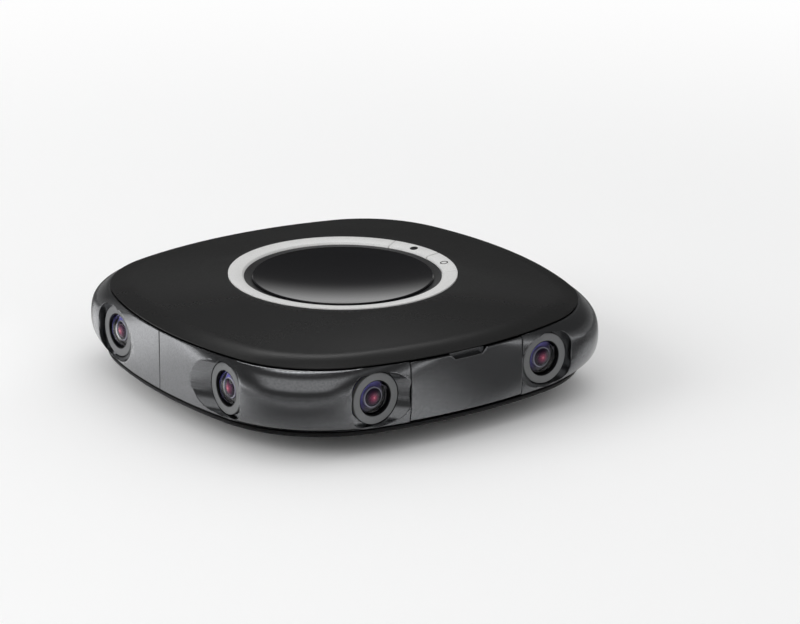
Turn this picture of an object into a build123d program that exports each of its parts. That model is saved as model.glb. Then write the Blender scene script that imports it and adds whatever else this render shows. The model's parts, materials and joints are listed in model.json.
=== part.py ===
from build123d import *
from math import degrees, sqrt
import os

# 360 degree camera: a rounded square, low as a puck, with two lenses on each of its four sides.
# Millimetres, +Z up, origin on the surface it stands on, under its middle.
# The -Y side carries the port door. Each side is numbered from there, going round by +X.

# Whole body
body_width = 120.0
body_height = 30.0
crown_height = 5.7
overrun = 1.0
fit_gap = 0.05
running_gap = 0.2
seat_gap = 0.15

# Side band: four moulded corner pieces whose corners bulge and whose sides stay flat
band_base_height = 7.55
band_wall = 3.5
band_seam = 0.2
top_corner_cut = 3.1231
bottom_corner_cut = 5.5681
corner_bulge = 5.1
top_side_radius = 117.2
bottom_side_radius = 154.3
waist_side_radius = 300.0
station_heights_share = (0.0, 0.12, 0.3, 0.5, 0.7, 0.88, 1.0)
station_bulge_share = (0.0, 0.6, 0.93, 1.0, 0.93, 0.6, 0.0)

# Covers. The top one starts square like the band and turns round as it climbs to the ring.
shadow_gap = 0.3
cover_wall = 1.8
cover_inset = 0.6
cover_edge = 0.25
crown_margin = 0.6
crown_reach = 0.6
shoulder_layers = 4
hood_inset_share = (0.0, 0.08, 0.16, 0.24, 0.62, 1.0)
hood_rise_share = (0.0, 0.165, 0.304, 0.39, 0.719, 1.0)
hood_round_share = (0.0, 0.0, 0.03, 0.1, 0.6, 1.0)
lip_depth = 1.4
lip_wall = 1.2
underside_gap = 0.5
underside_inset = 0.1
underside_run = 18.0
underside_shoulder = 1.4
underside_rim = 1.2
underside_edge_round = 6.0
rubber_foot_height = 1.0

# Trim ring, its two buttons and the dish inside it
ring_radius = 32.0
ring_width = 4.4
ring_dip = 0.45
ring_bevel = 0.5
ring_proud = 0.3
tray_depth = 4.0
tray_floor = 1.4
tray_wall = 1.6
surround_width = 2.2
surround_top_drop = 0.55
surround_fall = 0.45
dish_rim_drop = 0.85
dish_sag = 2.0
dish_rim_round = 0.3
button_start_angle = -32.0
button_arc = 30.0
button_travel = 0.3
button_stop_gap = 0.2
stem_radius = 1.2
stem_tip_gap = 0.4
switch_width = 3.0
switch_height = 0.8
button_board_width = 9.0
button_board_thickness = 1.0
board_post_radius = 1.2
board_post_angle = 5.0

# Lens modules
lens_spacing = 55.8
lens_drop = 0.525
lens_recess = 3.55
bezel_margin = 1.275
bezel_rim = 2.1
bezel_thickness = 1.2
bezel_bevel = 0.4
scoop_shift = 2.0
scoop_flare = 2.0
scoop_depth = 4.0
flange_ledge = 0.5
flange_length = 2.6
flange_step = 0.8
barrel_length = 12.0
barrel_bore_ledge = 0.55
barrel_rear_share = 0.6724138
barrel_rear_depth = 1.6
front_glass_ledge = 0.4
front_glass_edge = 0.9
front_glass_rise = 0.8
front_glass_hollow_share = 0.7222222
front_glass_centre = 1.1
inner_glass_ledge = 1.15
inner_glass_edge = 0.5
inner_glass_dome = 0.8
inner_glass_drop = 0.25
sensor_board_ledge = 0.7
sensor_board_thickness = 1.0
sensor_width_share = 1.2820513
sensor_height_share = 0.974359
sensor_thickness = 0.9

# Port door, its hinge and the bay behind it
door_width = 37.0
door_edge_gap = 0.2
door_inner_depth = 2.8
door_notch_width = 11.8
door_notch_floor = 9.0
door_notch_depth = 1.4
door_notch_reach = 1.6
hinge_height = 1.6
hinge_depth = 1.45
hinge_pin_radius = 0.4
hinge_pin_length = 22.0
lug_radius = 0.8
lug_width = 2.5
lug_spacing = 14.5
bay_width = 30.0
bay_wall = 1.1
bay_depth = 4.4
bay_setback = 3.8
bay_back_wall = 1.6
frame_width = 35.0
seal_thickness = 0.75
seal_band = 1.2
usb_width = 7.6
usb_height = 2.8
usb_length = 5.4
usb_wall = 0.35
usb_offset = -8.0
card_width = 13.0
card_height = 1.8
card_length = 13.0
card_slot_width = 11.2
card_slot_height = 0.9
card_offset = 6.0
port_board_depth = 14.0
port_board_width = 30.0
port_board_thickness = 1.0
port_board_drop = 0.8

# Chassis and what it carries
chassis_gap = 0.25
chassis_thickness = 1.3
chassis_window_inset = 31.0
cradle_length = 5.0
cradle_ledge = 0.7
cradle_setback = 6.5
cradle_drop = 2.05
post_inset = 18.7
post_radius = 2.8
screw_radius = 1.0
screw_head_radius = 1.9
screw_head_height = 1.2
screw_bite = 5.0
screw_pocket_cover = 2.2
main_board_inset = 25.0
main_board_thickness = 1.2
board_stud_height = 1.4
board_stud_radius = 2.2
board_screw_inset = 3.5
board_screw_length = 2.4
processor_width = 15.0
memory_width = 9.0
memory_offset = 15.0
chip_height = 1.2
spreader_inset = 12.0
spreader_thickness = 1.0
battery_end_inset = 6.0
battery_side_inset = 13.0
battery_headroom = 1.85
battery_round = 2.0
bracket_thickness = 0.8
bracket_clearance = 0.2
bracket_leg_width = 12.0
microphone_length = 3.8
microphone_width = 3.0
microphone_height = 1.1
microphone_inset = 2.5
antenna_length = 22.0
antenna_width = 6.0
antenna_thickness = 0.8
antenna_inset = 14.0

# Underside
insert_radius = 6.0
insert_length = 5.6
insert_flange_radius = 7.5
insert_flange_thickness = 0.8
tripod_thread_radius = 2.55
tripod_thread_depth = 5.0
insert_boss_radius = 8.5
foot_radius = 4.5
foot_sink = 0.4
foot_inset = 33.0

# Levels worked out from the sizes above
half_width = body_width / 2
band_top_height = body_height - crown_height
band_height = band_top_height - band_base_height
cover_edge_height = band_top_height + shadow_gap
underside_edge_height = band_base_height - underside_gap
cover_crown_height = body_height - ring_proud
tray_level = body_height - tray_depth
lens_plane = half_width - lens_recess
chassis_level = underside_edge_height
chassis_top = chassis_level + chassis_thickness
lens_height = band_base_height + band_height / 2 - lens_drop
button_lift = button_travel + button_stop_gap

# Lens sizes worked out from the band's height, and the places of what the chassis carries from its width
bezel_radius = band_height / 2 - bezel_margin
bezel_opening_radius = bezel_radius - bezel_rim
flange_radius = bezel_radius - flange_ledge
barrel_radius = flange_radius - flange_step
barrel_rear_radius = barrel_radius * barrel_rear_share
front_glass_radius = bezel_opening_radius + front_glass_ledge
front_glass_hollow_radius = front_glass_radius * front_glass_hollow_share
inner_glass_radius = front_glass_hollow_radius - inner_glass_ledge
barrel_bore_radius = inner_glass_radius - barrel_bore_ledge
sensor_board_width = 2 * (barrel_radius + sensor_board_ledge)
sensor_width = barrel_rear_radius * sensor_width_share
sensor_height = barrel_rear_radius * sensor_height_share
cradle_width = 2 * (barrel_radius + cradle_ledge)
cradle_rise = lens_height - chassis_top - cradle_drop
post_offset = half_width - post_inset
foot_offset = half_width - foot_inset
antenna_offset = half_width - antenna_inset
chassis_window_width = 2 * (half_width - chassis_window_inset)
main_board_width = 2 * (half_width - main_board_inset)
board_screw_offset = main_board_width / 2 - board_screw_inset
microphone_offset = main_board_width / 2 - microphone_inset
spreader_width = main_board_width - 2 * spreader_inset
battery_length = main_board_width - 2 * battery_end_inset
battery_width = main_board_width - 2 * battery_side_inset

os.makedirs("parts", exist_ok=True)


def corner_reach(side_radius, cut):
    """How far a corner lies beyond half the width, along the diagonal.

    cut is what the corner takes off the point where the arcs of two sides would meet.
    """
    shift = side_radius - half_width
    meet = (sqrt(2 * side_radius**2 - shift**2) - shift) / sqrt(2)
    return meet - half_width - cut


top_corner_reach = corner_reach(top_side_radius, top_corner_cut)
bottom_corner_reach = corner_reach(bottom_side_radius, bottom_corner_cut)


def rounded_square(height, half, reach, side_radius):
    """A square with bowed sides and round corners: eight arcs, each tangent to the next.

    half is its half width, reach how far a corner lies beyond that along the diagonal.
    """
    diagonal = half + reach
    side_shift = side_radius - half
    corner_shift = side_radius - diagonal
    corner_run = (corner_shift**2 - side_shift**2) / (sqrt(2) * side_shift - 2 * corner_shift)
    corner_radius = diagonal - corner_run
    corner = corner_run / sqrt(2)
    stretch = side_radius / (side_radius - corner_radius)
    along = stretch * corner
    out = stretch * (corner + side_shift) - side_shift
    tip = diagonal / sqrt(2)
    with BuildSketch(Plane.XY.offset(height)) as shape:
        with BuildLine():
            ThreePointArc((-along, -out), (0, -half), (along, -out))
            ThreePointArc((along, -out), (tip, -tip), (out, -along))
            ThreePointArc((out, -along), (half, 0), (out, along))
            ThreePointArc((out, along), (tip, tip), (along, out))
            ThreePointArc((along, out), (0, half), (-along, out))
            ThreePointArc((-along, out), (-tip, tip), (-out, along))
            ThreePointArc((-out, along), (-half, 0), (-out, -along))
            ThreePointArc((-out, -along), (-tip, -tip), (-along, -out))
        make_face()
    return shape.sketch


def band_outline(share, bulge, inset):
    """The band's outline at a share of its height, with a share of the corner bulge."""
    edge_reach = bottom_corner_reach + (top_corner_reach - bottom_corner_reach) * share
    edge_radius = bottom_side_radius + (top_side_radius - bottom_side_radius) * share
    side_radius = 1 / ((1 - bulge) / edge_radius + bulge / waist_side_radius)
    return rounded_square(
        band_base_height + band_height * share,
        half_width - inset,
        edge_reach + corner_bulge * bulge,
        side_radius,
    )


def top_outline(height, inset):
    """The outline of the band's top edge, drawn in by inset."""
    return rounded_square(height, half_width - inset, top_corner_reach, top_side_radius)


def bottom_outline(height, inset):
    """The outline of the band's lower edge, drawn in by inset."""
    return rounded_square(height, half_width - inset, bottom_corner_reach, bottom_side_radius)


def side_plane(side, distance, along=0.0, height=0.0):
    """A plane that faces out of one side, with its X axis along that side."""
    turned = Plane.XY.rotated((0, 0, 90 * side))
    origin = turned.from_local_coords(Vector(along, -distance, height))
    return Plane(origin=origin, x_dir=turned.x_dir, z_dir=-turned.y_dir)


# The four sides in turn, with the lens at each side's near and far end.
lens_stations = [(side, end) for side in range(4) for end in (-1, 1)]


def lens_plane_at(side, end, setback=0.0):
    """The plane of one lens's bezel face, or one set back into the body."""
    return side_plane(side, lens_plane - setback, end * lens_spacing / 2, lens_height)


# Band blank: lofted through the outlines, hollowed by the same loft drawn in, and scooped at each lens
with BuildPart() as band_blank:
    loft([band_outline(s, b, 0) for s, b in zip(station_heights_share, station_bulge_share)])
    loft(
        [band_outline(s, b, band_wall) for s, b in zip(station_heights_share, station_bulge_share)],
        mode=Mode.SUBTRACT,
    )
    for side, end in lens_stations:
        with BuildSketch(lens_plane_at(side, end, band_wall + bezel_thickness)) as bore:
            Circle(bezel_radius + running_gap)
        extrude(bore.sketch, amount=band_wall + bezel_thickness + fit_gap, mode=Mode.SUBTRACT)
        with BuildSketch(lens_plane_at(side, end)) as scoop_floor:
            Circle(bezel_radius + running_gap)
        with BuildSketch(lens_plane_at(side, end, -scoop_depth)) as scoop_mouth:
            with Locations((end * scoop_shift, 0)):
                Circle(bezel_radius + running_gap + scoop_flare)
        loft([scoop_floor.sketch, scoop_mouth.sketch], ruled=True, mode=Mode.SUBTRACT)


# Corner pieces of the band. The front one and the right one end at the port door.
door_half = door_width / 2
seam_half = band_seam / 2
with BuildPart() as front_corner_band:
    add(band_blank.part)
    with BuildSketch(Plane.XY.offset(band_base_height)):
        with Locations((-door_half, -seam_half)):
            Rectangle(body_width, body_width, align=(Align.MAX, Align.MAX))
    extrude(amount=band_height, mode=Mode.INTERSECT)
front_corner_band.part.label = "front_corner_band"

with BuildPart() as right_corner_band:
    add(band_blank.part)
    with BuildSketch(Plane.XY.offset(band_base_height)):
        with Locations((door_half, -seam_half)):
            Rectangle(body_width, body_width, align=(Align.MIN, Align.MAX))
    extrude(amount=band_height, mode=Mode.INTERSECT)
right_corner_band.part.label = "right_corner_band"

with BuildPart() as back_corner_band:
    add(band_blank.part)
    with BuildSketch(Plane.XY.offset(band_base_height)):
        with Locations((seam_half, seam_half)):
            Rectangle(body_width, body_width, align=(Align.MIN, Align.MIN))
    extrude(amount=band_height, mode=Mode.INTERSECT)
back_corner_band.part.label = "back_corner_band"

with BuildPart() as left_corner_band:
    add(band_blank.part)
    with BuildSketch(Plane.XY.offset(band_base_height)):
        with Locations((-seam_half, seam_half)):
            Rectangle(body_width, body_width, align=(Align.MAX, Align.MIN))
    extrude(amount=band_height, mode=Mode.INTERSECT)
left_corner_band.part.label = "left_corner_band"

# Port door: the stretch of the band between those two, thinner, with a fingernail notch and hinge slots
door_face = half_width - door_inner_depth
hinge_face = half_width - hinge_depth
hinge_level = band_base_height + door_edge_gap + hinge_height
hinge_line = Plane(origin=(0, -hinge_face, hinge_level), x_dir=(0, 1, 0), z_dir=(1, 0, 0))
lug_centres = [(-lug_spacing / 2, 0), (lug_spacing / 2, 0)]
with BuildPart() as port_door:
    loft([band_outline(s, b, 0) for s, b in zip(station_heights_share, station_bulge_share)])
    with BuildSketch(side_plane(0, door_face)):
        with Locations((0, band_base_height + band_height / 2)):
            Rectangle(door_width - 2 * door_edge_gap, band_height - 2 * door_edge_gap)
    extrude(amount=door_inner_depth + overrun, mode=Mode.INTERSECT)
    with BuildSketch(side_plane(0, half_width + overrun, 0, band_top_height)):
        with BuildLine():
            Polyline(
                (-door_notch_width / 2, overrun),
                (-door_notch_width / 2, -door_edge_gap),
                (-door_notch_floor / 2, -door_edge_gap - door_notch_depth),
                (door_notch_floor / 2, -door_edge_gap - door_notch_depth),
                (door_notch_width / 2, -door_edge_gap),
                (door_notch_width / 2, overrun),
                close=True,
            )
        make_face()
    extrude(amount=-overrun - door_notch_reach, mode=Mode.SUBTRACT)
    with BuildSketch(hinge_line.offset(-hinge_pin_length / 2)):
        Circle(hinge_pin_radius + fit_gap)
    extrude(amount=hinge_pin_length, mode=Mode.SUBTRACT)
    slot_top = hinge_level + lug_radius + seat_gap
    with BuildSketch(side_plane(0, hinge_face + lug_radius + seat_gap)):
        for x, _ in lug_centres:
            with Locations((x, slot_top)):
                Rectangle(
                    lug_width + 2 * running_gap,
                    slot_top - band_base_height,
                    align=(Align.CENTER, Align.MAX),
                )
    extrude(amount=-door_inner_depth, mode=Mode.SUBTRACT)
port_door.part.label = "port_door"

with BuildPart() as door_hinge_pin:
    with BuildSketch(hinge_line.offset(fit_gap - hinge_pin_length / 2)):
        Circle(hinge_pin_radius)
    extrude(amount=hinge_pin_length - 2 * fit_gap)
door_hinge_pin.part.label = "door_hinge_pin"

# Bay behind the door: a moulded frame with a recess, two socket windows and two hinge lugs
bay_face = half_width - bay_setback
frame_bottom = underside_edge_height + lip_depth + seat_gap
frame_top = band_top_height - lip_depth - seat_gap
bay_level = (hinge_level + lug_radius + frame_top) / 2
bay_height = frame_top - hinge_level - lug_radius - 2 * bay_wall
frame_depth = bay_depth + bay_back_wall
bay_floor_face = bay_face - bay_depth
port_board_top = bay_level - usb_height / 2 - port_board_drop
usb_centre = (usb_offset, port_board_top + usb_height / 2)
card_centre = (card_offset, port_board_top + card_height / 2)
with BuildPart() as port_frame:
    with BuildSketch(side_plane(0, bay_face)):
        with Locations((0, frame_bottom)):
            Rectangle(frame_width, frame_top - frame_bottom, align=(Align.CENTER, Align.MIN))
    extrude(amount=-frame_depth)
    with BuildSketch(side_plane(0, bay_face)):
        with Locations((0, bay_level)):
            Rectangle(bay_width, bay_height)
    extrude(amount=-bay_depth, mode=Mode.SUBTRACT)
    with BuildSketch(side_plane(0, bay_face)):
        with Locations(usb_centre):
            Rectangle(usb_width + 2 * seat_gap, usb_height + 2 * seat_gap)
        with Locations(card_centre):
            Rectangle(card_width + 2 * seat_gap, card_height + 2 * seat_gap)
    extrude(amount=-frame_depth, mode=Mode.SUBTRACT)
    for x, _ in lug_centres:
        with BuildSketch(hinge_line.offset(x - lug_width / 2)):
            Circle(lug_radius)
            Rectangle(
                hinge_face - bay_face + seat_gap,
                2 * lug_radius,
                align=(Align.MIN, Align.CENTER),
            )
        extrude(amount=lug_width)
    with BuildSketch(hinge_line.offset(-hinge_pin_length / 2)):
        Circle(hinge_pin_radius + fit_gap)
    extrude(amount=hinge_pin_length, mode=Mode.SUBTRACT)
port_frame.part.label = "port_frame"

with BuildPart() as door_seal:
    with BuildSketch(side_plane(0, door_face)):
        with Locations((0, bay_level)):
            Rectangle(bay_width + seal_band, bay_height + seal_band)
            Rectangle(bay_width - seal_band, bay_height - seal_band, mode=Mode.SUBTRACT)
    extrude(amount=-seal_thickness)
door_seal.part.label = "door_seal"

with BuildPart() as port_board:
    with BuildSketch(Plane.XY.offset(port_board_top - port_board_thickness)):
        with Locations((0, -(bay_face - frame_depth) + seat_gap)):
            Rectangle(port_board_width, port_board_depth, align=(Align.CENTER, Align.MIN))
    extrude(amount=port_board_thickness)
port_board.part.label = "port_board"

with BuildPart() as usb_socket:
    with BuildSketch(side_plane(0, bay_floor_face)):
        with Locations(usb_centre):
            Rectangle(usb_width, usb_height)
    extrude(amount=-bay_back_wall - usb_length)
    with BuildSketch(side_plane(0, bay_floor_face)):
        with Locations(usb_centre):
            Trapezoid(usb_width - 2 * usb_wall, usb_height - 2 * usb_wall, 60)
    extrude(amount=-usb_length, mode=Mode.SUBTRACT)
usb_socket.part.label = "usb_socket"

with BuildPart() as card_socket:
    with BuildSketch(side_plane(0, bay_floor_face)):
        with Locations(card_centre):
            Rectangle(card_width, card_height)
    extrude(amount=-bay_back_wall - card_length)
    with BuildSketch(side_plane(0, bay_floor_face)):
        with Locations(card_centre):
            Rectangle(card_slot_width, card_slot_height)
    extrude(amount=-card_length, mode=Mode.SUBTRACT)
card_socket.part.label = "card_socket"


# Covers
def hood(lower):
    """The top cover's outer form, lowered: a thin upright edge, a soft shoulder and a low crown.

    Its layers turn from the band's rounded square into the ring's circle as they climb.
    """
    rise = cover_crown_height - cover_edge_height - cover_edge
    run = half_width - cover_inset - ring_radius - crown_margin
    bow = (top_side_radius - half_width) / top_corner_reach
    layers = []
    for inset, up, turn in zip(hood_inset_share, hood_rise_share, hood_round_share):
        height = cover_edge_height + cover_edge + rise * up - lower
        half = half_width - cover_inset - run * inset
        reach = top_corner_reach + (crown_reach - top_corner_reach) * turn
        layers.append(rounded_square(height, half, reach, half + bow * reach))
    with BuildPart() as form:
        extrude(layers[0], amount=-cover_edge)
        loft(layers[:shoulder_layers])
        loft(layers[shoulder_layers - 1 :])
    return form.part


lip_inset = band_wall + seat_gap
post_places = [(x, y) for x in (-post_offset, post_offset) for y in (-post_offset, post_offset)]
ring_inner_radius = ring_radius - ring_width
ring_middle_radius = ring_radius - ring_width / 2
button_angles = {
    "power_button": button_start_angle,
    "record_button": button_start_angle + button_arc,
}
stem_places = [
    Vector(ring_middle_radius, 0).rotate(Axis.Z, angle + button_arc / 2)
    for angle in button_angles.values()
]
button_board_top = tray_level - tray_floor - stem_tip_gap - switch_height
board_post_places = [
    Vector(ring_middle_radius, 0).rotate(Axis.Z, button_start_angle - board_post_angle),
    Vector(ring_middle_radius, 0).rotate(
        Axis.Z, button_start_angle + 2 * button_arc + board_post_angle
    ),
]
with BuildPart() as top_cover:
    add(hood(0))
    add(hood(cover_wall), mode=Mode.SUBTRACT)
    with BuildSketch(Plane.XY.offset(band_top_height - lip_depth)):
        add(top_outline(0, lip_inset))
        add(top_outline(0, lip_inset + lip_wall), mode=Mode.SUBTRACT)
    extrude(amount=lip_depth + shadow_gap + cover_edge)
    with BuildSketch(Plane.XY.offset(tray_level - tray_floor)):
        Circle(ring_radius + seat_gap + tray_wall)
    extrude(amount=tray_floor + tray_depth - ring_proud - cover_wall)
    with BuildSketch(Plane.XY.offset(tray_level)):
        Circle(ring_radius + seat_gap)
    extrude(amount=tray_depth + overrun, mode=Mode.SUBTRACT)
    with BuildSketch(Plane.XY.offset(tray_level)):
        for place in stem_places:
            with Locations(place):
                Circle(stem_radius + seat_gap)
    extrude(amount=-tray_floor - overrun, mode=Mode.SUBTRACT)
    with BuildSketch(Plane.XY.offset(button_board_top)):
        for place in board_post_places:
            with Locations(place):
                Circle(board_post_radius)
    extrude(amount=tray_level - tray_floor / 2 - button_board_top)
    with BuildSketch(Plane.XY.offset(chassis_top)):
        for place in post_places:
            with Locations(place):
                Circle(post_radius)
    extrude(amount=cover_edge_height + cover_wall - cover_edge - chassis_top)
    with BuildSketch(Plane.XY.offset(chassis_top)):
        for place in post_places:
            with Locations(place):
                Circle(screw_radius + fit_gap)
    extrude(amount=screw_bite + fit_gap, mode=Mode.SUBTRACT)
top_cover.part.label = "top_cover"


def saucer(inset, lift):
    """The bottom cover's outer form, drawn in and lifted: an upright rim over a shallow slope."""
    rim_height = underside_edge_height - underside_rim
    base_height = rubber_foot_height + lift
    with BuildPart() as slab:
        extrude(bottom_outline(rim_height, underside_inset + inset), amount=underside_rim)
        loft(
            [
                bottom_outline(rim_height, underside_inset + inset),
                bottom_outline(base_height, underside_inset + inset + underside_run),
            ],
            ruled=True,
        )
    return slab.part


insert_top = rubber_foot_height + insert_length
screw_seat = underside_edge_height - screw_pocket_cover
foot_places = [(x, y) for x in (-foot_offset, foot_offset) for y in (-foot_offset, foot_offset)]
with BuildPart() as underside_hollow:
    add(saucer(cover_wall, cover_wall))
    with BuildSketch(Plane.XY.offset(rubber_foot_height)):
        with Locations(*post_places):
            Circle(post_radius)
    extrude(amount=underside_edge_height, mode=Mode.SUBTRACT)
    with BuildSketch(Plane.XY.offset(rubber_foot_height)):
        Circle(insert_boss_radius)
    extrude(amount=insert_length, mode=Mode.SUBTRACT)

with BuildPart() as bottom_cover:
    add(saucer(0, 0))
    rim_edges = bottom_cover.edges().filter_by(
        lambda edge: abs(edge.center().Z - (underside_edge_height - underside_rim)) < fit_gap
        and edge.length > underside_run
    )
    fillet(rim_edges, underside_shoulder)
    fillet(bottom_cover.faces().sort_by(Axis.Z)[0].outer_wire().edges(), underside_edge_round)
    add(underside_hollow.part, mode=Mode.SUBTRACT)
    with BuildSketch(Plane.XY.offset(underside_edge_height - underside_rim)):
        add(bottom_outline(0, underside_inset + cover_wall / 2))
        add(bottom_outline(0, lip_inset + lip_wall), mode=Mode.SUBTRACT)
    extrude(amount=underside_rim)
    with BuildSketch(Plane.XY.offset(underside_edge_height - underside_rim)):
        add(bottom_outline(0, lip_inset))
        add(bottom_outline(0, lip_inset + lip_wall), mode=Mode.SUBTRACT)
    extrude(amount=underside_rim + lip_depth)
    with BuildSketch(Plane.XY.offset(screw_seat)):
        with Locations(*post_places):
            Circle(screw_head_radius + running_gap)
    extrude(amount=-screw_seat, mode=Mode.SUBTRACT)
    with BuildSketch(Plane.XY.offset(screw_seat)):
        with Locations(*post_places):
            Circle(screw_radius + running_gap)
    extrude(amount=underside_edge_height, mode=Mode.SUBTRACT)
    with BuildSketch(Plane.XY.offset(rubber_foot_height + foot_sink)):
        with Locations(*foot_places):
            Circle(foot_radius + fit_gap)
    extrude(amount=-foot_sink - overrun, mode=Mode.SUBTRACT)
    with BuildSketch(Plane.XY):
        Circle(insert_radius + fit_gap)
    extrude(amount=insert_top + overrun, mode=Mode.SUBTRACT)
    with BuildSketch(Plane.XY):
        Circle(insert_flange_radius + fit_gap)
    extrude(amount=rubber_foot_height + insert_flange_thickness, mode=Mode.SUBTRACT)
bottom_cover.part.label = "bottom_cover"

with BuildPart() as tripod_insert:
    with BuildSketch(Plane.XY.offset(rubber_foot_height)):
        Circle(insert_flange_radius)
    extrude(amount=insert_flange_thickness)
    with BuildSketch(Plane.XY.offset(rubber_foot_height)):
        Circle(insert_radius)
    extrude(amount=insert_length)
    with BuildSketch(Plane.XY.offset(rubber_foot_height)):
        Circle(tripod_thread_radius)
    extrude(amount=tripod_thread_depth, mode=Mode.SUBTRACT)
tripod_insert.part.label = "tripod_insert"

with BuildPart() as rubber_feet:
    with BuildSketch(Plane.XY):
        with Locations(*foot_places):
            Circle(foot_radius)
    extrude(amount=rubber_foot_height + foot_sink)
    chamfer(rubber_feet.faces().group_by(Axis.Z)[0].edges(), foot_sink)
rubber_feet.part.label = "rubber_feet"

with BuildPart() as cover_screws:
    with BuildSketch(Plane.XY.offset(screw_seat)):
        with Locations(*post_places):
            Circle(screw_head_radius)
    extrude(amount=-screw_head_height)
    with BuildSketch(Plane.XY.offset(screw_seat)):
        with Locations(*post_places):
            Circle(screw_radius)
    extrude(amount=chassis_top + screw_bite - screw_seat)
cover_screws.part.label = "cover_screws"

# Trim ring, buttons, surround and dish, all seated in the top cover's tray
ring_gap_angle = degrees(running_gap / ring_middle_radius)


def ring_section(angle, inner, outer, base):
    """The trim ring's cross-section on the plane that stands at this angle."""
    with BuildSketch(Plane.XZ.rotated((0, 0, angle))) as section:
        with BuildLine():
            Polyline(
                (inner, base),
                (outer, base),
                (outer, body_height),
                (inner + ring_bevel, body_height - ring_dip),
                (inner, body_height - ring_dip - ring_bevel),
                close=True,
            )
        make_face()
    return section.sketch


with BuildPart() as trim_ring:
    revolve(
        ring_section(
            button_start_angle + 2 * button_arc, ring_inner_radius, ring_radius, tray_level
        ),
        axis=Axis.Z,
        revolution_arc=360 - 2 * button_arc,
    )
trim_ring.part.label = "trim_ring"

button_inner = ring_inner_radius + running_gap
button_outer = ring_radius - fit_gap
with BuildPart() as power_button:
    revolve(
        ring_section(
            button_angles["power_button"] + ring_gap_angle,
            button_inner,
            button_outer,
            tray_level + button_lift,
        ),
        axis=Axis.Z,
        revolution_arc=button_arc - 2 * ring_gap_angle,
    )
    with BuildSketch(Plane.XY.offset(tray_level - tray_floor)):
        with Locations(stem_places[0]):
            Circle(stem_radius)
    extrude(amount=tray_floor + 2 * button_lift)
power_button.part.label = "power_button"

with BuildPart() as record_button:
    revolve(
        ring_section(
            button_angles["record_button"] + ring_gap_angle,
            button_inner,
            button_outer,
            tray_level + button_lift,
        ),
        axis=Axis.Z,
        revolution_arc=button_arc - 2 * ring_gap_angle,
    )
    with BuildSketch(Plane.XY.offset(tray_level - tray_floor)):
        with Locations(stem_places[1]):
            Circle(stem_radius)
    extrude(amount=tray_floor + 2 * button_lift)
record_button.part.label = "record_button"

surround_outer = ring_inner_radius - fit_gap
surround_inner = ring_inner_radius - surround_width
surround_top = body_height - surround_top_drop
with BuildPart() as ring_surround:
    with BuildSketch(Plane.XZ):
        with BuildLine():
            Polyline(
                (surround_inner, tray_level),
                (surround_outer, tray_level),
                (surround_outer, surround_top - ring_bevel),
                (surround_inner, surround_top - ring_bevel - surround_fall),
                close=True,
            )
        make_face()
    revolve(axis=Axis.Z)
ring_surround.part.label = "ring_surround"

dish_outer = surround_inner - fit_gap
dish_rim = body_height - dish_rim_drop
with BuildPart() as centre_dish:
    with BuildSketch(Plane.XZ):
        with BuildLine():
            Line((0, tray_level), (dish_outer, tray_level))
            Line((dish_outer, tray_level), (dish_outer, dish_rim - dish_rim_round))
            Line(
                (dish_outer, dish_rim - dish_rim_round),
                (dish_outer - dish_rim_round, dish_rim),
            )
            TangentArc(
                (0, dish_rim - dish_sag),
                (dish_outer - dish_rim_round, dish_rim),
                tangent=(1, 0),
            )
            Line((0, dish_rim - dish_sag), (0, tray_level))
        make_face()
    revolve(axis=Axis.Z)
centre_dish.part.label = "centre_dish"

# Button board, hung from the tray, and its two switches
board_inner = ring_middle_radius - button_board_width / 2
board_outer = ring_middle_radius + button_board_width / 2
board_start = button_start_angle - 2 * board_post_angle
board_arc = 2 * button_arc + 4 * board_post_angle
with BuildPart() as button_board:
    with BuildSketch(Plane.XY.offset(button_board_top)):
        with BuildLine():
            inner_arc = CenterArc((0, 0), board_inner, board_start, board_arc)
            outer_arc = CenterArc((0, 0), board_outer, board_start, board_arc)
            Line(inner_arc @ 0, outer_arc @ 0)
            Line(inner_arc @ 1, outer_arc @ 1)
        make_face()
    extrude(amount=-button_board_thickness)
button_board.part.label = "button_board"

with BuildPart() as button_switches:
    with BuildSketch(Plane.XY.offset(button_board_top)):
        with Locations(*stem_places):
            Rectangle(switch_width, switch_width)
    extrude(amount=switch_height)
button_switches.part.label = "button_switches"


# Lens modules: the same six pieces behind each of the eight openings
def lens_section(side, end):
    """The plane through a lens's axis: X is the radius, Y runs outwards, zero at the bezel's face."""
    face = lens_plane_at(side, end)
    return Plane(origin=face.origin, x_dir=face.x_dir, z_dir=-face.y_dir)


def lens_axis(side, end):
    """The axis of one lens, pointing out of the body."""
    face = lens_plane_at(side, end)
    return Axis(face.origin, face.z_dir)


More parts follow.
